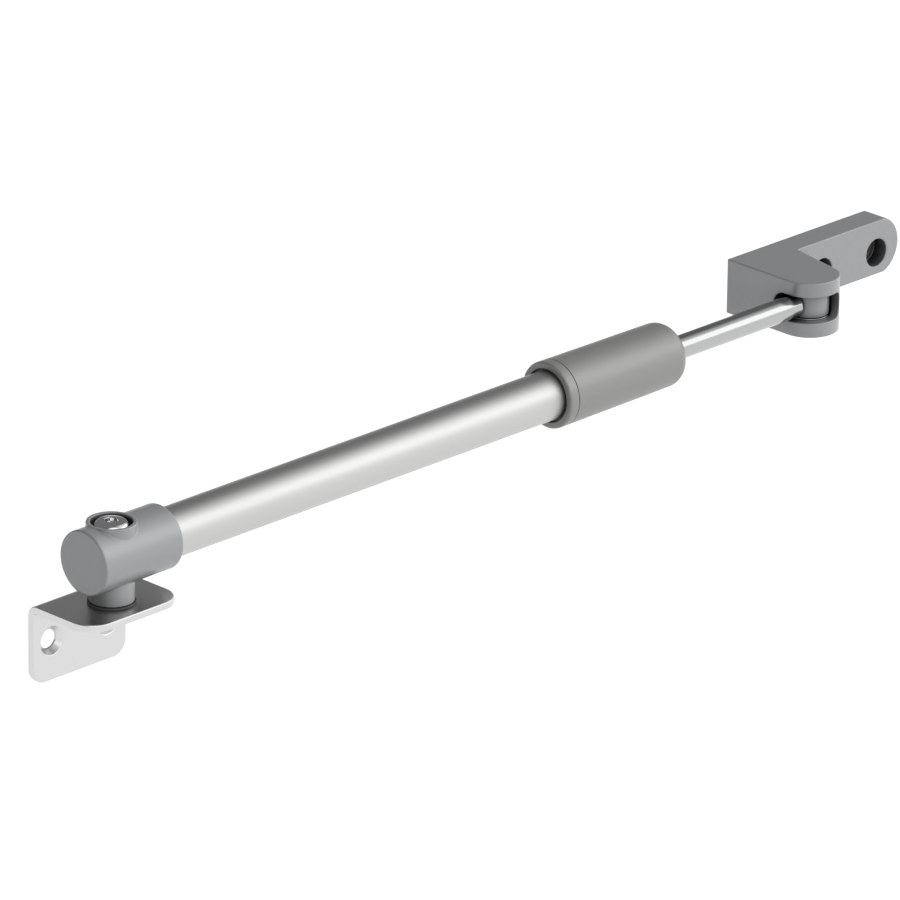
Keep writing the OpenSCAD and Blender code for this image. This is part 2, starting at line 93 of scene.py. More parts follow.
tube_low, tube_high = box_mm("outer_tube")
barrel_low, barrel_high = box_mm("swivel_barrel")
WALL_PIN = np.array([0.0, (tube_low[1] + tube_high[1]) / 2, (tube_low[2] + tube_high[2]) / 2])
SASH_PIN = np.array([(barrel_low[0] + barrel_high[0]) / 2, WALL_PIN[1], WALL_PIN[2]])
PIN_TO_PIN = SASH_PIN[0]
print("wall pin at", WALL_PIN.round(2), "sash pin at", SASH_PIN.round(2))

# %% [markdown]
# The camera copies the one that took the picture: a very long lens, from the front left and a
# little above. Its angles were found by fitting the outlines of tube, rod and brackets, and the
# wall pin's crossing lands on one known pixel of the 900 pixel frame.

# %% Place the camera
FRAME_PX = 900
FOCAL_PX = 9958.0
SCALE_AT_PIN = 3.32  # pixels to a millimetre at the wall pin
PIN_PX = (111.56, 553.43)
AZIMUTH, ELEVATION, ROLL = (math.radians(a) for a in (-45.35, 21.93, 0.67))
SENSOR_MM = 36.0

right = Vector((math.cos(AZIMUTH), math.sin(AZIMUTH), 0))
back = Vector((math.sin(AZIMUTH) * math.cos(ELEVATION), -math.cos(AZIMUTH) * math.cos(ELEVATION),
               math.sin(ELEVATION)))
up = back.cross(right)
rolled_right = right * math.cos(ROLL) + up * math.sin(ROLL)
rolled_up = up * math.cos(ROLL) - right * math.sin(ROLL)
distance_mm = FOCAL_PX / SCALE_AT_PIN
across_mm = (PIN_PX[0] - FRAME_PX / 2) / SCALE_AT_PIN
above_mm = (FRAME_PX / 2 - PIN_PX[1]) / SCALE_AT_PIN
eye = (Vector(WALL_PIN) - rolled_right * across_mm - rolled_up * above_mm + back * distance_mm) * MM

camera_data = bpy.data.cameras.new("photo_camera")
camera_data.sensor_width = SENSOR_MM
camera_data.lens = FOCAL_PX / FRAME_PX * SENSOR_MM
camera_data.clip_end = 100
camera = bpy.data.objects.new("photo_camera", camera_data)
camera.matrix_world = Matrix.Translation(eye) @ Matrix(
    (rolled_right, rolled_up, back)).transposed().to_4x4()
bpy.context.collection.objects.link(camera)
bpy.context.scene.camera = camera
print("camera at", [round(c, 2) for c in eye], "lens", round(camera_data.lens), "mm")

# %% [markdown]
# A turned piece is half of its section spun round its axis, which is how a lathe makes it. The
# section is a short list of corners: place along the axis, radius, and how far the corner is
# rounded. The small radii matter more than anything else here, because a broken edge catches a
# thin line of light and a knife edge doesn't. Plain cylinders with a bevel would come near, but
# they can't take a radius of its own for each corner.

# %% Spin a section
ARC_STEPS = 5
TURN_STEPS = 144
ON_THE_AXIS = 1e-6


def rounded(corners, closed):
    """Places and radii along a section, with an arc in each corner that has a radius."""
    count = len(corners)
    outline = []
    for k, (place, radius, bend) in enumerate(corners):
        here = np.array([place, radius], float)
        if not bend or (not closed and k in (0, count - 1)):
            outline.append(here)
            continue
        before = np.array(corners[k - 1][:2], float) - here
        after = np.array(corners[(k + 1) % count][:2], float) - here
        before_dir = before / np.linalg.norm(before)
        after_dir = after / np.linalg.norm(after)
        half = math.acos(np.clip(before_dir @ after_dir, -1, 1)) / 2
        reach = bend / math.tan(half)
        middle = here + (before_dir + after_dir) / np.linalg.norm(before_dir + after_dir) \
            * bend / math.sin(half)
        start = here + before_dir * reach - middle
        end = here + after_dir * reach - middle
        sweep = math.atan2(start[0] * end[1] - start[1] * end[0], start @ end)
        for step in range(ARC_STEPS + 1):
            angle = sweep * step / ARC_STEPS
            outline.append(middle + [start[0] * math.cos(angle) - start[1] * math.sin(angle),
                                     start[0] * math.sin(angle) + start[1] * math.cos(angle)])
    return outline


def spin(corners, closed=True, upright=False):
    """Points and faces of a section spun about the stay's line, or about an upright pin."""
    points, faces, rings = [], [], []
    for place, radius in rounded(corners, closed):
        first = len(points)
        if radius < ON_THE_AXIS:
            points.append((place, 0.0, 0.0))
            rings.append([first] * TURN_STEPS)
            continue
        for k in range(TURN_STEPS):
            angle = 2 * math.pi * k / TURN_STEPS
            points.append((place, radius * math.cos(angle), radius * math.sin(angle)))
        rings.append(range(first, first + TURN_STEPS))
    pairs = list(zip(rings, rings[1:]))
    if closed:
        pairs.append((rings[-1], rings[0]))
    for near, far in pairs:
        for k in range(TURN_STEPS):
            n = (k + 1) % TURN_STEPS
            faces.append(list(dict.fromkeys((near[k], near[n], far[n], far[k]))))
    points = np.array(points)
    if upright:
        points = points[:, [1, 2, 0]]
    return points, faces


plain_ring = [(0, 2, 0), (1, 2, 0), (1, 1, 0), (0, 1, 0)]
print("a plain ring has", len(spin(plain_ring)[1]), "faces")

# %% [markdown]
# A casting has no sharp inner corner: where two forms meet there is a fillet, and the edges are
# soft. Such a piece is written as a formula for the distance to its surface. Cylinders and blocks
# are joined and cut in that formula with a fillet of any size, and then a skin of small faces is
# laid where the distance is zero. Boolean cuts with bevels would need a bevel on every new edge,
# and break where the edges run into each other.

# %% Distance formulas
FAR = 30.0  # a cut that goes right through runs this far


def drum(p, axis, centre, radius, start, end, edge=0.0):
    """Distance to a cylinder along one axis (0, 1 or 2) whose edges are rounded."""
    a, b = [i for i in range(3) if i != axis]
    radial = np.hypot(p[..., a] - centre[0], p[..., b] - centre[1]) - radius + edge
    along = np.abs(p[..., axis] - (start + end) / 2) - (end - start) / 2 + edge
    outside = np.hypot(np.maximum(radial, 0), np.maximum(along, 0))
    return outside + np.minimum(np.maximum(radial, along), 0) - edge


def block(p, low, high, edge=0.0):
    """Distance to a block whose edges are rounded."""
    low, high = np.array(low, float), np.array(high, float)
    q = np.abs(p - (low + high) / 2) - (high - low) / 2 + edge
    return np.linalg.norm(np.maximum(q, 0), axis=-1) + np.minimum(q.max(-1), 0) - edge


def join(a, b, fillet):
    """One body of two, with a fillet in the corner between them."""
    h = np.clip(0.5 + 0.5 * (b - a) / fillet, 0, 1)
    return b + (a - b) * h - fillet * h * (1 - h)


def cut(a, b, edge):
    """The first body without the second, with the new edge rounded."""
    return -join(-a, b, edge)


def shared(a, b, edge):
    """What two bodies have in common, with the new edge rounded."""
    return -join(-a, -b, edge)


def hexagon(p, across):
    """Distance to an upright six-sided bar, by its size across the flats."""
    return np.max([p[..., 0] * math.cos(t) + p[..., 1] * math.sin(t)
                   for t in math.pi / 6 + np.arange(6) * math.pi / 3], axis=0) - across / 2


print("from the middle of a 10 mm drum to its surface:",
      drum(np.zeros(3), 2, (0, 0), 5, -5, 5), "mm")

# %% [markdown]
# The skin is laid over a grid of small cubes. Each cube that the surface crosses gets one point,
# and the four cubes round a crossed grid line share a face. That gives even four-sided faces that
# shade smoothly, where cutting each cube by itself would leave slivers along every edge.

# %% Lay a skin where the distance is zero
CUBE = np.array(list(itertools.product((0, 1), repeat=3)))
CUBE_EDGES = [(a, b) for a in CUBE for b in CUBE if (b - a).min() >= 0 and (b - a).sum() == 1]
MARGIN_CELLS = 2
SLIDES = 3
PROBE_MM = 0.02
LEAST_STEEP = 0.25  # keeps a point from being thrown off where the slope fades in a fillet


def skin(distance, low, high, pitch):
    """Points and faces of the surface where distance(points) is zero, inside a box."""
    margin = MARGIN_CELLS * pitch
    low, high = np.array(low, float) - margin, np.array(high, float) + margin
    counts = np.ceil((high - low) / pitch).astype(int) + 1
    lines = [low[i] + pitch * np.arange(counts[i]) for i in range(3)]
    field = distance(np.stack(np.meshgrid(*lines, indexing="ij"), -1))
    inside = field < 0
    n = counts - 1
    held = sum(inside[i:i + n[0], j:j + n[1], k:k + n[2]].astype(np.int8) for i, j, k in CUBE)
    mixed = (held > 0) & (held < 8)
    number = np.full(mixed.shape, -1)
    number[mixed] = np.arange(mixed.sum())
    cells = np.argwhere(mixed)

    # Each crossed cell gets one point, in the middle of the places where its edges are crossed
    total, hits = np.zeros((len(cells), 3)), np.zeros(len(cells))
    for start, end in CUBE_EDGES:
        a = field[tuple((cells + start).T)]
        b = field[tuple((cells + end).T)]
        crossed = (a < 0) != (b < 0)
        share = np.where(crossed, a / np.where(crossed, a - b, 1), 0)
        total += crossed[:, None] * (start + share[:, None] * (end - start))
        hits += crossed
    points = low + (cells + total / hits[:, None]) * pitch

    # Each crossed grid line gets one face, between the four cells round it
    faces = []
    unit = np.eye(3, dtype=int)
    for axis in range(3):
        u, v = unit[(axis + 1) % 3], unit[(axis + 2) % 3]
        near = np.moveaxis(inside, axis, 0)[:-1]
        far = np.moveaxis(inside, axis, 0)[1:]
        changed = np.moveaxis(near != far, 0, axis)
        start = np.argwhere(changed)
        quads = np.stack([number[tuple((start - s).T)] for s in (u + v, v, 0 * u, u)], 1)
        filled = inside[tuple(start.T)]
        quads[~filled] = quads[~filled][:, ::-1]
        faces.append(quads)

    # The points slide along the slope of the distance until they lie on the surface itself
    for _ in range(SLIDES):
        slope = np.stack([(distance(points + PROBE_MM * e) - distance(points - PROBE_MM * e))
                          / (2 * PROBE_MM) for e in np.eye(3)], -1)
        steep = np.maximum((slope ** 2).sum(-1, keepdims=True), LEAST_STEEP)
        points = points - distance(points)[:, None] * slope / steep
    return points, np.concatenate(faces).tolist()


ball = skin(lambda p: np.linalg.norm(p, axis=-1) - 2, (-2, -2, -2), (2, 2, 2), 0.5)
print("a 4 mm ball at a pitch of 0.5 mm has", len(ball[1]), "faces")

# %% [markdown]
# Colours are read off as sRGB hex, the way a colour picker gives them, and Blender's sockets want
# linear light. One function does that, and one more adds a node with its settings and links.

# %% Colour and node helpers
def linear(hex_colour):
    """sRGB hex to linear RGBA."""
    parts = [int(hex_colour[i:i + 2], 16) / 255 for i in (0, 2, 4)]
    return [c / 12.92 if c <= 0.04045 else ((c + 0.055) / 1.055) ** 2.4 for c in parts] + [1.0]


def add(tree, kind, inputs=None, **settings):
    """Adds one node. inputs gives a value, or another node's output, for each socket."""
    made = tree.nodes.new(kind)
    for name, value in settings.items():
        setattr(made, name, value)
    for socket, value in (inputs or {}).items():
        if isinstance(value, bpy.types.NodeSocket):
            tree.links.new(value, made.inputs[socket])
        else:
            made.inputs[socket].default_value = value
    return made


def start_finish(name):
    """A new material with its Principled shader and the object's own coordinates."""
    finish = bpy.data.materials.new(name)
    finish.use_nodes = True
    tree = finish.node_tree
    return finish, tree, tree.nodes["Principled BSDF"], add(tree, "ShaderNodeTexCoord")


print("a mid grey, 808080, is", round(linear("808080")[0], 3), "in linear light")

# %% [markdown]
# The tube is drawn aluminium, brushed along its length and then anodised in its natural colour.
# To the eye that is a soft silver with a broad band of light and faint lines along it. Brushing is
# a noise drawn out along X, in the roughness and in a very low bump. A picture of brushed metal
# would need unwrapping and would repeat, and the noise does neither.

# %% Finish: brushed natural anodised aluminium
NOISE_LOW, NOISE_HIGH = 0.3, 0.7  # most values of a noise texture lie between these
BRUSH_LINE_MM = 0.35  # real lines are finer than a pixel, so these are drawn coarser to show
BRUSH_LENGTH_MM = 30.0


def anodised_aluminium():
    """Soft silver: the anodised film takes the mirror off the metal."""
    finish, tree, shader, coords = start_finish("brushed_anodised_aluminium")
    shader.inputs["Base Color"].default_value = linear("c6c7c5")
    shader.inputs["Metallic"].default_value = 1.0
    lengthwise, across = 1 / (BRUSH_LENGTH_MM * MM), 1 / (BRUSH_LINE_MM * MM)
    stretched = add(tree, "ShaderNodeMapping", {"Vector": coords.outputs["Object"],
                                                "Scale": (lengthwise, across, across)})
    lines = add(tree, "ShaderNodeTexNoise", {"Vector": stretched.outputs["Vector"], "Scale": 1.0,
                                             "Detail": 3.0, "Roughness": 0.6})
    rough = add(tree, "ShaderNodeMapRange", {
        "Value": lines.outputs["Fac"], "From Min": NOISE_LOW, "From Max": NOISE_HIGH,
        "To Min": 0.41, "To Max": 0.47})
    bump = add(tree, "ShaderNodeBump", {"Height": lines.outputs["Fac"], "Strength": 0.10,
                                        "Distance": 0.01 * MM})
    tree.links.new(rough.outputs["Result"], shader.inputs["Roughness"])
    tree.links.new(bump.outputs["Normal"], shader.inputs["Normal"])
    print(finish.name, "with lines", BRUSH_LINE_MM, "mm apart")
    return finish


# %% [markdown]
# Head, sash bracket and barrel are zinc die castings under a satin silver-grey lacquer, and the
# grip is moulded in nearly the same grey. Metal flakes too fine to see give the lacquer a quiet,
# even colour with a wide soft sheen, so the shader is a little metallic. The sprayed film is
# slightly wavy, which is a noise in tone and roughness. Deep recesses look much darker than the
# open faces, more than the broad studio light makes them, so an occlusion node paints shade into
# the colour there. It works from the shape alone and so stays put from every side.

# %% Finish: satin lacquer on zinc casting, with painted shade in recesses
FILM_MM = 3.0  # one wave of a sprayed film
FILM_TONE = 0.03
FILM_ROUGH = 0.03
RECESS_REACH_MM = 10.0
RECESS_DEEP, RECESS_OPEN = 0.20, 0.90  # how much of the surroundings is open
# The painted shade leaves this share of the colour in the deepest corner
RECESS_PAINTED_SHADE = 0.05  # what is left of the tone in the deepest corner
RECESS_RAYS = 16


def satin_lacquer(name, hex_colour, metallic, roughness):
    """Even grey with a soft sheen, and shade painted into its colour in deep recesses.

    The roughness stays over 0.28. Cycles counts a sheen under 0.274 as a mirror when it cleans up
    noise, and a film that wavers across that line comes out with dark specks.
    """
    finish, tree, shader, coords = start_finish(name)
    film = add(tree, "ShaderNodeTexNoise", {"Vector": coords.outputs["Object"],
                                            "Scale": 1 / (FILM_MM * MM), "Detail": 1.0})
    base = linear(hex_colour)
    tint = add(tree, "ShaderNodeMix", {"Factor": film.outputs["Fac"]}, data_type="RGBA")
    tint.inputs["A"].default_value = [c * (1 - FILM_TONE) for c in base[:3]] + [1]
    tint.inputs["B"].default_value = [c * (1 + FILM_TONE) for c in base[:3]] + [1]
    # Painted shade: occlusion scales the base colour down in recesses
    openness = add(tree, "ShaderNodeAmbientOcclusion", {"Distance": RECESS_REACH_MM * MM},
                   samples=RECESS_RAYS)
    shade = add(tree, "ShaderNodeMapRange", {
        "Value": openness.outputs["AO"], "From Min": RECESS_DEEP, "From Max": RECESS_OPEN,
        "To Min": RECESS_PAINTED_SHADE, "To Max": 1.0})
    tone = add(tree, "ShaderNodeVectorMath", {0: tint.outputs["Result"],
                                              "Scale": shade.outputs["Result"]},
               operation="SCALE")
    rough = add(tree, "ShaderNodeMapRange", {
        "Value": film.outputs["Fac"], "From Min": NOISE_LOW, "From Max": NOISE_HIGH,
        "To Min": roughness - FILM_ROUGH, "To Max": roughness + FILM_ROUGH})
    shader.inputs["Metallic"].default_value = metallic
    tree.links.new(tone.outputs["Vector"], shader.inputs["Base Color"])
    tree.links.new(rough.outputs["Result"], shader.inputs["Roughness"])
    print(finish.name, "with waves of", FILM_MM, "mm")
    return finish


# %% [markdown]
# The remaining finishes share one short recipe, because what tells them apart is colour, metal or
# not, and how smooth the surface is. A fine noise in that smoothness keeps each from looking like
# plain paint. A recipe of its own for each would differ in nothing that the eye could find.

# %% Finish: plain metals and mouldings
GRAIN_MM = 0.5  # real plating and mould grain is finer than a pixel, so this is drawn coarser


def plain_finish(name, hex_colour, metallic, roughness, spread=0.04):
    """One colour with a fine grain in its smoothness."""
    finish, tree, shader, coords = start_finish(name)
    shader.inputs["Base Color"].default_value = linear(hex_colour)
    shader.inputs["Metallic"].default_value = metallic
    grain = add(tree, "ShaderNodeTexNoise", {"Vector": coords.outputs["Object"],
                                             "Scale": 1 / (GRAIN_MM * MM), "Detail": 3.0})
    rough = add(tree, "ShaderNodeMapRange", {
        "Value": grain.outputs["Fac"], "From Min": NOISE_LOW, "From Max": NOISE_HIGH,
        "To Min": roughness - spread, "To Max": roughness + spread})
    bump = add(tree, "ShaderNodeBump", {"Height": grain.outputs["Fac"], "Strength": 0.05,
                                        "Distance": 0.02 * MM})
    tree.links.new(rough.outputs["Result"], shader.inputs["Roughness"])
    tree.links.new(bump.outputs["Normal"], shader.inputs["Normal"])
    print(finish.name, "with a grain of", GRAIN_MM, "mm")
    return finish


# %% [markdown]
# Each finish is made once, under the name of its slot in the record. The nodes that keep their CAD
# shape get theirs here, and the pieces made further down get the same ones.

# %% Make the finishes and put them on the CAD nodes
FINISHES = {
    # Drawn and brushed tube: soft silver with a broad band of light
    "anodised_tube": anodised_aluminium(),
    # Sprayed casting: even mid grey with a soft sheen, and painted shade in its recesses
    "cast_grey": satin_lacquer("satin_lacquer_on_zinc", "bbbdbe", 0.16, 0.315),
    # Moulded grip: the same grey, a trace warmer and duller, with the same painted shade in recesses
    "grip_grey": satin_lacquer("satin_silver_grey_moulding", "acaca9", 0.2, 0.38),
    # Ground and polished rod: clear dark and light bands along it
    "polished_rod": plain_finish("polished_rod_steel", "b3b4b4", 1.0, 0.14),
    # Chrome plate on the domed screw: a small hard mirror
    "bright_chrome": plain_finish("bright_chrome_plate", "d8d9da", 1.0, 0.07, spread=0.02),
    # Plated sheet, left satin: pale and even, with no sharp reflection
    "satin_steel": plain_finish("satin_plated_sheet", "d3d4d3", 1.0, 0.32),
    # Zinc plate: bluer and duller than chrome
    "zinc_steel": plain_finish("zinc_plated_steel", "b0b3b6", 1.0, 0.33),
    # Brass as it comes off the lathe: warm and bright
    "turned_brass": plain_finish("turned_brass", "d9b36a", 1.0, 0.22),
    # Black nylon moulding: near black with a soft gloss; on the lower bush's flange this dark also
    # stands in for the shadow under the head's foot, as painted shade
    "dark_nylon": plain_finish("black_nylon", "424344", 0.0, 0.45),
    # Acetal in its natural colour: milky white
    "white_acetal": plain_finish("natural_acetal", "e8e6df", 0.0, 0.35),
    # Moulded rubber: black with almost no gloss
    "black_rubber": plain_finish("black_rubber", "151515", 0.0, 0.65)}
for part in frame["record"]["subparts"]:
    mesh = frame["nodes"][part["node"]].data
    mesh.materials.clear()
    mesh.materials.append(FINISHES[part["material_slot"]])

# %% [markdown]
# Every piece is handed over the same way: turned to metres, set at its pin, given its finish,
# put in the place of its CAD node and on that node's body. Weighted normals keep the wide faces
# of a turned piece evenly shaded right up to the small radii beside them. A skin of small faces
# doesn't need them.

# %% Hand over a piece
BODY_OF = {name: body for body, names in frame["record"]["behaviour"]["bodies"].items()
           for name in names}
SLOT_OF = {part["node"]: part["material_slot"] for part in frame["record"]["subparts"]}
SAME_PLACE_M = 1e-7


def hand_over(node, mesh_parts, about=WALL_PIN, weighted=True):
    """Makes the object that stands for one CAD node."""
    points, faces = mesh_parts
    mesh = bpy.data.meshes.new(node + "_skin")
    mesh.from_pydata(((points + about) * MM).tolist(), [], faces)
    mesh.validate()
    work = bmesh.new()
    work.from_mesh(mesh)
    bmesh.ops.remove_doubles(work, verts=work.verts, dist=SAME_PLACE_M)
    bmesh.ops.recalc_face_normals(work, faces=work.faces)
    work.to_mesh(mesh)
    work.free()
    mesh.shade_smooth()
    mesh.materials.append(FINISHES[SLOT_OF[node]])
    piece = bpy.data.objects.new(node + "_skin", mesh)
    bpy.context.collection.objects.link(piece)
    if weighted:
        normals = piece.modifiers.new("even shading", "WEIGHTED_NORMAL")
        normals.weight = 100
    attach(piece, BODY_OF[node])
    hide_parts(node)
    print(f"{piece.name}: {len(mesh.polygons)} faces, on {BODY_OF[node]}")


# %% [markdown]
# The tube, the rod and the grip are turned pieces on the stay's own line. Their ends come from the
# boxes of the CAD nodes, so they can't drift from them. Each corner of a section is written as its
# place along the line, its radius, and how far it is rounded.

# %% Tube, grip and rod
def along(node):
    """Start, end and radius of a node that lies along the stay, from the wall pin."""
    low, high = box_mm(node)
    return low[0], high[0], (high[1] - low[1]) / 2


tube_start, tube_end, tube_r = along("outer_tube")
TUBE_WALL = 1.2
hand_over("outer_tube", spin([
    (tube_start, tube_r, 0.3), (tube_end, tube_r, 0.3),
    (tube_end, tube_r - TUBE_WALL, 0.2), (tube_start, tube_r - TUBE_WALL, 0.2)]))

ring_start, ring_tail, ring_r = along("grip_ring")
sleeve_start, sleeve_end, sleeve_r = along("grip_sleeve")
SLEEVE_FAR_R = 10.55
SLEEVE_ROUND = 4.4
SLEEVE_BORE_R = 9.3
WINDOW_R = 4.2
FIT = 0.02  # clearance between neighbours, so that no two faces lie in one place
WIPER_ROOM = 0.05
_, cone_end, _ = along("clamp_cone")
_, wiper_end, wiper_r = along("rod_wiper")
hand_over("grip_sleeve", spin([
    (sleeve_start, sleeve_r, 0.25), (sleeve_end, SLEEVE_FAR_R, SLEEVE_ROUND),
    (sleeve_end, WINDOW_R, 0.3), (wiper_end + WIPER_ROOM, WINDOW_R, 0),
    (wiper_end + WIPER_ROOM, wiper_r + FIT, 0), (cone_end + FIT, wiper_r + FIT, 0),
    (cone_end + FIT, SLEEVE_BORE_R, 0), (sleeve_start, SLEEVE_BORE_R, 0)]))
RING_BORE_R = 8.7
RING_GAP = 0.15  # the fine dark line between ring and sleeve
RING_SHOULDER = sleeve_start - RING_GAP
RING_LIP_R = SLEEVE_BORE_R - FIT
hand_over("grip_ring", spin([
    (ring_start, ring_r, 0.8), (RING_SHOULDER, ring_r, 0.25), (RING_SHOULDER, RING_LIP_R, 0),
    (ring_tail, RING_LIP_R, 0), (ring_tail, RING_BORE_R, 0), (ring_start, RING_BORE_R, 0.3)]))

rod_tip, rod_tail, rod_r = along("inner_rod")
NECK_R, NECK_L = 3.0, 12.1
TENON_R = 2.7
ROD_GAP = 0.1  # from the rod's shoulder to the barrel
barrel_r = (barrel_high[0] - barrel_low[0]) / 2
rod_shoulder = PIN_TO_PIN - barrel_r - ROD_GAP
hand_over("inner_rod", spin([
    (rod_tip, 0, 0), (rod_tip, NECK_R, 0.2), (rod_tip + NECK_L, NECK_R, 0),
    (rod_tip + NECK_L, rod_r, 0.5), (rod_shoulder, rod_r, 0.5), (rod_shoulder, TENON_R, 0),
    (rod_tail, TENON_R, 0), (rod_tail, 0, 0)], closed=False))

# %% [markdown]
# The head is one casting: a lying barrel for the tube, closed and rounded at the back, a low boss
# that houses the screw head, and a foot that stands on the shelf. The front end is cut square
# after the boss and foot are joined on, as on the real one.

# %% End head
head_low, head_high = box_from("end_head", WALL_PIN)
HEAD_BACK, HEAD_FRONT = head_low[0], head_high[0]
HEAD_R = (head_high[1] - head_low[1]) / 2
BOSS_R, BOSS_TOP = 7.85, head_high[2]
FOOT_R, FOOT_LOW = 7.1, head_low[2]
RECESS_R, RECESS_DEPTH = 6.55, 2.7
HEAD_BORE_R = 4.07
SOCKET_START, SOCKET_R = 8.5, tube_r + FIT
CROSS_PIN_X, CROSS_PIN_R = 14.5, 1.52
CROSS_PIN_TOP = -1.0  # its hole comes up from below and ends inside the tube
OVERRUN = 4.0  # the barrel is drawn past the front end, which is then cut square
HEAD_PITCH = 0.24


def head_distance(p):
    """The casting's solid forms first, then what is cut out of them."""
    body = drum(p, 0, (0, 0), HEAD_R, HEAD_BACK, HEAD_FRONT + OVERRUN, edge=0.6)
    body = join(body, drum(p, 2, (0, 0), BOSS_R, 0, BOSS_TOP, edge=0.35), fillet=0.2)
    body = join(body, drum(p, 2, (0, 0), FOOT_R, FOOT_LOW, 0, edge=0.3), fillet=0.3)
    body = cut(body, block(p, (HEAD_FRONT, -FAR, -FAR), (HEAD_FRONT + FAR, FAR, FAR)), edge=0.9)
    body = cut(body, drum(p, 2, (0, 0), RECESS_R, BOSS_TOP - RECESS_DEPTH, FAR), edge=0.4)
    body = cut(body, drum(p, 2, (0, 0), HEAD_BORE_R, -FAR, FAR), edge=0.3)
    body = cut(body, drum(p, 0, (0, 0), SOCKET_R, SOCKET_START, FAR), edge=0.3)
    cross_hole = drum(p, 2, (CROSS_PIN_X, 0), CROSS_PIN_R, -FAR, CROSS_PIN_TOP)
    return cut(body, cross_hole, edge=0.3)


hand_over("end_head", skin(head_distance, head_low, head_high, HEAD_PITCH), weighted=False)

# %% [markdown]
# The sash bracket is one casting too: a plate with a round end and two counterbored holes, and a
# nose that is slotted for the rod. The slot is a wedge that follows the rod's swing, with a round
# end where the rod stops, and a round pocket for the barrel. The casting is what the outline from
# above and the outline from the front have in common, which leaves no seam between plate and nose.

# %% Sash bracket
sash_low, sash_high = box_from("sash_bracket", SASH_PIN)
PLATE_H = sash_high[2] - sash_low[2]
PLATE_BACK = sash_high[1]
PLATE_T = 9.7
PLATE_FRONT = PLATE_BACK - PLATE_T
NOSE_R = -sash_low[0]
NOSE_FLARE = 3.2
NOSE_FILLET = 0.9
PLATE_END_R = 0.54 * PLATE_H  # over half the height, so the round end starts with a faint corner
PLATE_REACH = sash_high[0] - PLATE_END_R
SLOT_H, POCKET_R = 8.8, 7.0
SLOT_FIRST, SLOT_LAST = math.radians(168), math.radians(284)
SASH_PIN_HOLE_R, SASH_PIN_HOLE_TOP = 2.52, 7.6
SASH_HOLES_X = (25.0, 51.0)
SASH_HOLE_Z = -1.8
SASH_HOLE_R, SASH_SINK_R, SASH_SINK_DEPTH = 2.75, 4.75, 5.5
SASH_PITCH = 0.28


def slot_distance(p):
    """The wedge between the rod's two stops, their round ends, and the barrel's pocket."""
    x, y, z = p[..., 0], p[..., 1], p[..., 2]
    level = np.abs(z) - SLOT_H / 2
    sides, ends = [], []
    for angle, turn in ((SLOT_FIRST, -1), (SLOT_LAST, 1)):
        c, s = math.cos(angle), math.sin(angle)
        aside = turn * (c * y - s * x)
        sides.append(aside)
        ends.append(np.maximum(np.hypot(aside, z) - SLOT_H / 2, -(c * x + s * y)))
    wedge = np.maximum(level, np.maximum(*sides))
    pocket = np.maximum(level, np.hypot(x, y) - POCKET_R)
    return np.minimum(np.minimum(wedge, pocket), np.minimum(*ends))


def sash_distance(p):
    """The outline from above and the outline from the front share the casting's body."""
    x, y, z = p[..., 0], p[..., 1], p[..., 2]
    half = PLATE_H / 2
    run = math.hypot(PLATE_FRONT, NOSE_FLARE)
    flare = ((x - NOSE_R) * PLATE_FRONT - y * NOSE_FLARE) / run
    plan = np.maximum(join(flare, PLATE_FRONT - y, fillet=NOSE_FILLET), -NOSE_R - x)
    plan = shared(plan, y - PLATE_BACK, edge=0.3)
    plan = np.maximum(plan, np.where(y < 0, np.hypot(x, y) - NOSE_R, -2 * PLATE_H))
    round_end = np.where(x > PLATE_REACH, np.hypot(x - PLATE_REACH, z) - PLATE_END_R, -half)
    front = np.maximum(np.abs(z) - half, round_end)
    body = shared(plan, front, edge=0.35)
    body = cut(body, slot_distance(p), edge=0.25)
    body = cut(body, drum(p, 2, (0, 0), SASH_PIN_HOLE_R, -FAR, SASH_PIN_HOLE_TOP), edge=0.2)
    for hole_x in SASH_HOLES_X:
        at, sink_end = (hole_x, SASH_HOLE_Z), PLATE_FRONT + SASH_SINK_DEPTH
        body = cut(body, drum(p, 1, at, SASH_HOLE_R, -FAR, PLATE_BACK + FAR), edge=0.2)
        body = cut(body, drum(p, 1, at, SASH_SINK_R, -FAR, sink_end), edge=0.3)
    return body


hand_over("sash_bracket", skin(sash_distance, sash_low, sash_high, SASH_PITCH), about=SASH_PIN,
          weighted=False)

# %% [markdown]
# The swivel barrel and the thrust washers are turned about the sash pin. The barrel is drilled
# from the side for the rod's tenon, which the rod itself fills. That side hole is why the barrel
# is a formula and not a spun section.

# %% Swivel barrel and thrust washers
BARREL_H = barrel_high[2] - barrel_low[2]
BARREL_BORE_R = 2.55
BARREL_PITCH = 0.2
WASHER_BORE_R = 2.6


def barrel_distance(p):
    """An upright drum with the pin's bore and the tenon's hole."""
    half = BARREL_H / 2
    body = drum(p, 2, (0, 0), barrel_r, -half, half, edge=0.3)
    body = cut(body, drum(p, 2, (0, 0), BARREL_BORE_R, -FAR, FAR), edge=0.2)
    return cut(body, drum(p, 0, (0, 0), TENON_R + FIT, -FAR, 0), edge=0.2)


low, high = box_from("swivel_barrel", SASH_PIN)
hand_over("swivel_barrel", skin(barrel_distance, low, high, BARREL_PITCH), about=SASH_PIN,
          weighted=False)
for washer in ("upper_thrust_washer", "lower_thrust_washer"):
    low, high = box_from(washer, SASH_PIN)
    hand_over(washer, spin([
        (low[2], high[0], 0.1), (high[2], high[0], 0.1), (high[2], WASHER_BORE_R, 0),
        (low[2], WASHER_BORE_R, 0)], upright=True), about=SASH_PIN)

# %% [markdown]
# The wall bracket is cut flat from sheet, punched, countersunk and then bent. The formula does the
# same: a point in space is rolled back to its place in the flat blank, and the distance is taken
# there. The bend then has one thickness all the way round, as a real one has.

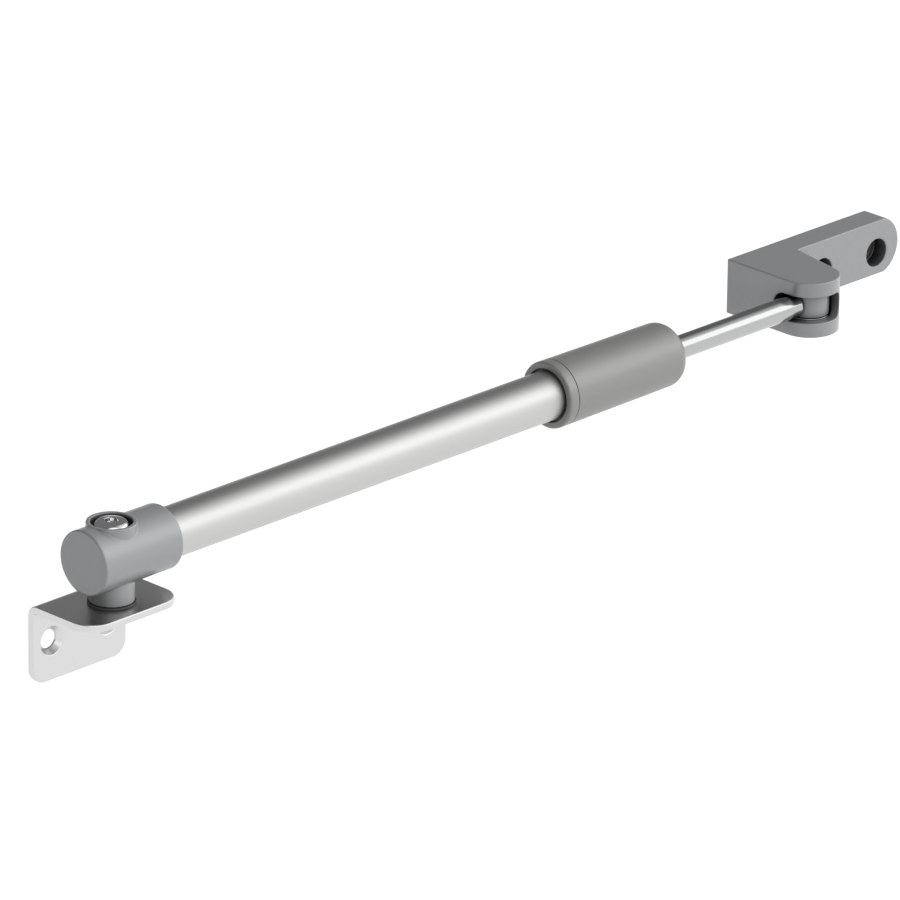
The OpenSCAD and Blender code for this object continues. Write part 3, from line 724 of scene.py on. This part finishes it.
# %% Wall bracket
bracket_low, bracket_high = box_mm("frame_bracket")
SHEET_T = 2.4
SHEET_EDGE = 0.35
BEND_R = 1.6
BEND_MID_R = BEND_R + SHEET_T / 2
BEND_Y = -BEND_R - SHEET_T
BEND_Z = bracket_high[2] - BEND_R - SHEET_T
LEAF_CORNER, SHELF_CORNER = 5.0, 8.0
HALF_WIDTH = bracket_high[0]
WALL_HOLES_X = (-11.5, 11.5)
WALL_HOLE_R, WALL_SINK = 3.0, 1.8
WALL_HOLE_REACH = 8.0
SHELF_HOLE_R = 3.02
SHELF_HOLE_LOW, SHELF_HOLE_HIGH = 5, 20  # through the shelf and clear of everything else
BRACKET_PITCH = 0.24


def bracket_distance(p):
    """Rolls each point back to the flat blank and takes the distance there."""
    x, y, z = p[..., 0], p[..., 1], p[..., 2]
    past_y, past_z = BEND_Y - y, z - BEND_Z
    on_leaf = (past_z < 0) & (past_y < -past_z)
    on_shelf = (past_y >= 0) & ~on_leaf
    bend_turn = np.arctan2(np.maximum(past_z, 0), np.maximum(-past_y, 1e-9))
    through = np.where(on_leaf, y + SHEET_T / 2, np.where(
        on_shelf, z - bracket_high[2] + SHEET_T / 2, np.hypot(past_y, past_z) - BEND_MID_R))
    run = np.where(on_leaf, past_z, np.where(
        on_shelf, BEND_MID_R * math.pi / 2 + past_y, BEND_MID_R * bend_turn))
    first = bracket_low[2] - BEND_Z
    last = BEND_MID_R * math.pi / 2 + BEND_Y - bracket_low[1]

    # The blank's outline, with round corners, and then the sheet with its broken edges
    corner = np.where(run < (first + last) / 2, LEAF_CORNER, SHELF_CORNER)
    aside = np.abs(x) - HALF_WIDTH + corner
    beyond = np.abs(run - (first + last) / 2) - (last - first) / 2 + corner
    outline = np.hypot(np.maximum(aside, 0), np.maximum(beyond, 0)) \
        + np.minimum(np.maximum(aside, beyond), 0) - corner
    a, b = outline + SHEET_EDGE, np.abs(through) - SHEET_T / 2 + SHEET_EDGE
    sheet = np.hypot(np.maximum(a, 0), np.maximum(b, 0)) \
        + np.minimum(np.maximum(a, b), 0) - SHEET_EDGE

    # Screw holes with their countersinks in the leaf, and the wall pin's hole in the shelf
    for hole_x in WALL_HOLES_X:
        radial = np.hypot(x - hole_x, z)
        hole = np.maximum(radial - WALL_HOLE_R, np.abs(y) - WALL_HOLE_REACH)
        sink = np.maximum((radial - WALL_HOLE_R - (-y - SHEET_T + WALL_SINK)) / math.sqrt(2),
                          np.abs(y) - WALL_HOLE_REACH)
        sheet = cut(cut(sheet, hole, edge=0.15), sink, edge=0.15)
    pin_hole = drum(p, 2, (0, WALL_PIN[1]), SHELF_HOLE_R, SHELF_HOLE_LOW, SHELF_HOLE_HIGH)
    return cut(sheet, pin_hole, edge=0.2)


hand_over("frame_bracket", skin(bracket_distance, bracket_low, bracket_high, BRACKET_PITCH),
          about=np.zeros(3), weighted=False)

# %% [markdown]
# The wall pin is a shoulder screw with a low polished dome and a hexagon socket. It is the
# brightest thing on the stay, so its rim and dome get fine faces. The dome rolls over into the
# rim with a wide radius, because that radius is what catches the white crescent.

# %% Wall pin
screw_low, screw_high = box_from("pivot_screw", WALL_PIN)
SCREW_R = 3.0
SCREW_HEAD_R = screw_high[0]
SCREW_DOME = 1.3
SCREW_ROLL = 3.2
SCREW_HEAD_T = 1.5
SCREW_KEY, SCREW_KEY_DEPTH = 4.0, 1.9
OVERLAP = 1  # forms that meet reach this far into each other
SCREW_SEAT = screw_high[2] - SCREW_DOME - SCREW_HEAD_T
SCREW_PITCH = 0.16


def screw_distance(p):
    """A domed head on a plain shank, with a six-sided key hole."""
    dome_r = (SCREW_HEAD_R ** 2 + SCREW_DOME ** 2) / (2 * SCREW_DOME)
    centre = np.array([0, 0, screw_high[2] - dome_r])
    head = drum(p, 2, (0, 0), SCREW_HEAD_R, SCREW_SEAT, screw_high[2] + OVERLAP)
    head = shared(head, np.linalg.norm(p - centre, axis=-1) - dome_r, edge=SCREW_ROLL)
    shank = drum(p, 2, (0, 0), SCREW_R, screw_low[2], SCREW_SEAT + OVERLAP, edge=0.3)
    socket = np.maximum(hexagon(p, SCREW_KEY), screw_high[2] - SCREW_KEY_DEPTH - p[..., 2])
    return cut(join(head, shank, fillet=0.2), socket, edge=0.15)


hand_over("pivot_screw", skin(screw_distance, screw_low, screw_high, SCREW_PITCH),
          weighted=False)

# %% [markdown]
# Under the shelf a thin nut on a toothed washer holds the wall pin. A nut is chamfered on both
# faces, so its corners end in arcs, and the washer's teeth bite into both faces. Both are written
# as formulas again, because the chamfer's arcs then come out by themselves.

# %% Nut and toothed washer
nut_low, nut_high = box_from("pivot_nut", WALL_PIN)
NUT_ACROSS = 10.0
CHAMFER_SLOPE = 0.5
NUT_PITCH = 0.16
teeth_low, teeth_high = box_from("lock_washer", WALL_PIN)
TEETH = 14
TEETH_ROOT_R, TEETH_BORE_R = 4.4, 3.2
TOOTH_FLANK = 2  # how steeply a tooth rises from its root
TEETH_PITCH = 0.1


def nut_distance(p):
    """A six-sided bar between two chamfered faces, with a bore."""
    radial = np.hypot(p[..., 0], p[..., 1])
    height = np.abs(p[..., 2] - (nut_low[2] + nut_high[2]) / 2)
    room = (nut_high[2] - nut_low[2]) / 2 - height
    chamfer = (radial - NUT_ACROSS / 2) * CHAMFER_SLOPE - room
    chamfer = chamfer / math.hypot(1, CHAMFER_SLOPE)
    body = shared(np.maximum(hexagon(p, NUT_ACROSS), chamfer), -room, edge=0.15)
    return cut(body, radial - SCREW_R - FIT, edge=0.3)


def teeth_distance(p):
    """A flat ring whose outer radius steps between the teeth's roots and tips."""
    radial = np.hypot(p[..., 0], p[..., 1])
    turn = np.arctan2(p[..., 1], p[..., 0]) * TEETH
    risen = np.clip(0.5 + TOOTH_FLANK * np.cos(turn), 0, 1)
    reach = TEETH_ROOT_R + (teeth_high[0] - TEETH_ROOT_R) * risen
    height = np.abs(p[..., 2] - (teeth_low[2] + teeth_high[2]) / 2)
    level = height - (teeth_high[2] - teeth_low[2]) / 2
    return np.maximum(np.maximum((radial - reach) / 2, TEETH_BORE_R - radial), level)


hand_over("pivot_nut", skin(nut_distance, nut_low, nut_high, NUT_PITCH), weighted=False)
hand_over("lock_washer", skin(teeth_distance, teeth_low, teeth_high, TEETH_PITCH),
          weighted=False)

# %% [markdown]
# Bushes and pins are turned pieces again: two flanged bushes that the wall pin turns in, the
# rolled cross pin that holds the tube in the head, and the sash pin of the fork. The flange of the
# lower bush makes the dark line under the head's foot: a real flange, whose dark colour also stands
# in for the shadow there as painted shade.

# %% Bushes and pins
FLANGE_T, SHANK_R, BUSH_R = 0.8, 3.05, 4.05
CROSS_PIN_BORE_R = 0.7
# The lower bush's dark flange is a real part and also painted shade under the head's foot
for bush in ("lower_bush", "upper_bush"):
    low, high = box_from(bush, WALL_PIN)
    # The flange lies at the lower end of the lower bush, and at the upper end of the other
    first, last, way = (low[2], high[2], 1) if bush == "lower_bush" else (high[2], low[2], -1)
    hand_over(bush, spin([
        (first, high[0], 0.2), (first + way * FLANGE_T, high[0], 0.1),
        (first + way * FLANGE_T, BUSH_R, 0), (last, BUSH_R, 0.2), (last, SHANK_R, 0.1),
        (first, SHANK_R, 0.1)], upright=True))

low, high = box_from("tube_pin", WALL_PIN)
pin_r = (high[0] - low[0]) / 2
hand_over("tube_pin", spin([
    (low[2], pin_r, 0.2), (high[2], pin_r, 0.2), (high[2], CROSS_PIN_BORE_R, 0.1),
    (low[2], CROSS_PIN_BORE_R, 0.1)], upright=True),
    about=WALL_PIN + [(low[0] + high[0]) / 2, 0, 0])
low, high = box_from("sash_pin", SASH_PIN)
hand_over("sash_pin", spin([
    (low[2], 0, 0), (low[2], high[0], 0.4), (high[2], high[0], 0.3), (high[2], 0, 0)],
    closed=False, upright=True), about=SASH_PIN)

# %% [markdown]
# The floor lies well below, as the stay is held by its wall bracket. It is pale paper that bounces
# little light up, because the stay's lower faces are in half shade. So that it still reads as
# white, it adds a light of its own for camera, glossy and glass rays only, which leaves the stay's
# shadow on it. A brighter lamp would whiten the floor too, but it would bleach the stay with it.

# %% Floor
FLOOR_DROP = 0.25
FLOOR_SIZE = 12.0
FLOOR_TOP_UP = 0.90
floor_mesh = bpy.data.meshes.new("floor")
half = FLOOR_SIZE / 2
floor_mesh.from_pydata([(-half, -half, 0), (half, -half, 0), (half, half, 0), (-half, half, 0)],
                       [], [(0, 1, 2, 3)])
floor = bpy.data.objects.new("floor", floor_mesh)
floor.location.z = cad_low.z - FLOOR_DROP
bpy.context.collection.objects.link(floor)
floor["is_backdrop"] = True

paper = bpy.data.materials.new("white_paper_floor")
paper.use_nodes = True
tree = paper.node_tree
tree.nodes.remove(tree.nodes["Principled BSDF"])
rays = add(tree, "ShaderNodeLightPath")
seen = add(tree, "ShaderNodeMath", {0: rays.outputs["Is Camera Ray"],
                                    1: rays.outputs["Is Glossy Ray"]}, operation="ADD")
seen = add(tree, "ShaderNodeMath", {0: seen.outputs[0], 1: rays.outputs["Is Transmission Ray"]},
           operation="ADD", use_clamp=True)
level = add(tree, "ShaderNodeMath", {0: seen.outputs[0], 1: FLOOR_TOP_UP}, operation="MULTIPLY")
glow = add(tree, "ShaderNodeEmission", {"Strength": level.outputs[0]})
matt = add(tree, "ShaderNodeBsdfDiffuse", {"Color": linear("bcbcbc")})
both = add(tree, "ShaderNodeAddShader", {0: glow.outputs[0], 1: matt.outputs[0]})
tree.links.new(both.outputs[0], tree.nodes["Material Output"].inputs["Surface"])
floor_mesh.materials.append(paper)
print("floor", FLOOR_SIZE, "m wide,", FLOOR_DROP, "m under the stay")

# %% [markdown]
# The world is a plain studio in four parts. A dim ceiling leaves the upper faces in half shade. A
# white strip along the horizon gives tube and rod the light line at their edges. A wide bright
# wall to the right gives them the broad band of light. A card in front, which only glossy rays
# see, gives the chrome dome its white crescent and lights no matt surface. Lamps could do the
# same, but a polished rod would show their hard outlines, and these parts all fade out softly.

# %% World
CEILING_LEVEL = 0.20
STRIP_LOW, STRIP_HIGH = 0.03, 0.16  # sine of the elevation where the strip is full and gone
WALL_TOWARDS, WALL_FADE, WALL_LEVEL = (0.675, -0.675, 0.30), (0.50, 0.90), 1.18
CARD_TOWARDS, CARD_FADE, CARD_LEVEL = (-0.35, -0.72, 0.60), (0.75, 0.86), 1.5
world = bpy.data.worlds.new("studio")
world.use_nodes = True
bpy.context.scene.world = world
tree = world.node_tree
coords = add(tree, "ShaderNodeTexCoord")
height = add(tree, "ShaderNodeSeparateXYZ", {0: coords.outputs["Generated"]})
strip = add(tree, "ShaderNodeMapRange", {
    "Value": height.outputs["Z"], "From Min": STRIP_LOW, "From Max": STRIP_HIGH,
    "To Min": 1.0, "To Max": 0.0})
parts = {}
for name, towards, fade, dim, bright in (
        ("wall", WALL_TOWARDS, WALL_FADE, CEILING_LEVEL, WALL_LEVEL),
        ("card", CARD_TOWARDS, CARD_FADE, 0.0, CARD_LEVEL)):
    facing = add(tree, "ShaderNodeVectorMath", {0: coords.outputs["Generated"], 1: towards},
                 operation="DOT_PRODUCT")
    parts[name] = add(tree, "ShaderNodeMapRange", {
        "Value": facing.outputs["Value"], "From Min": fade[0], "From Max": fade[1],
        "To Min": dim, "To Max": bright})
rays = add(tree, "ShaderNodeLightPath")
card = add(tree, "ShaderNodeMath", {0: parts["card"].outputs["Result"],
                                    1: rays.outputs["Is Glossy Ray"]}, operation="MULTIPLY")
level = add(tree, "ShaderNodeMath", {0: strip.outputs["Result"],
                                     1: parts["wall"].outputs["Result"]}, operation="MAXIMUM")
level = add(tree, "ShaderNodeMath", {0: level.outputs[0], 1: card.outputs[0]},
            operation="MAXIMUM")
background = tree.nodes["Background"]
background.inputs["Color"].default_value = (1, 1, 1, 1)
tree.links.new(level.outputs[0], background.inputs["Strength"])
print("world: ceiling", CEILING_LEVEL, "wall", WALL_LEVEL, "card", CARD_LEVEL)

# %% [markdown]
# One wide soft box, to the right of the camera and a little above it, models the forms and gives
# the shadows their direction. It is large for its distance, so the shadows' edges are soft.

# %% Lamp
def soft_box(name, azimuth, elevation, distance, size, watts):
    """A rectangular area lamp that looks at the stay's middle. Azimuth 0 is in front, along -Y."""
    data = bpy.data.lights.new(name, "AREA")
    data.shape = "RECTANGLE"
    data.size, data.size_y = size
    data.energy = watts
    lamp = bpy.data.objects.new(name, data)
    a, e = math.radians(azimuth), math.radians(elevation)
    away = Vector((math.sin(a) * math.cos(e), -math.cos(a) * math.cos(e), math.sin(e)))
    middle = (cad_low + cad_high) / 2
    lamp.location = middle + away * distance
    lamp.rotation_euler = away.to_track_quat("Z", "Y").to_euler()
    lamp.visible_camera = False
    bpy.context.collection.objects.link(lamp)
    print(name, "at", [round(c, 2) for c in lamp.location])


soft_box("key_box", azimuth=48, elevation=28, distance=2.0, size=(3.0, 1.0), watts=8.5)
bpy.context.scene.view_settings.view_transform = "Standard"

# %% [markdown]
# The last cell prints the dressed model's box, which must lie inside the CAD model's box printed
# at the start.

# %% Print the dressed model's box
low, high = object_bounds()
print("visual box in mm:", [round((b - a) / MM, 1) for a, b in zip(low, high)])
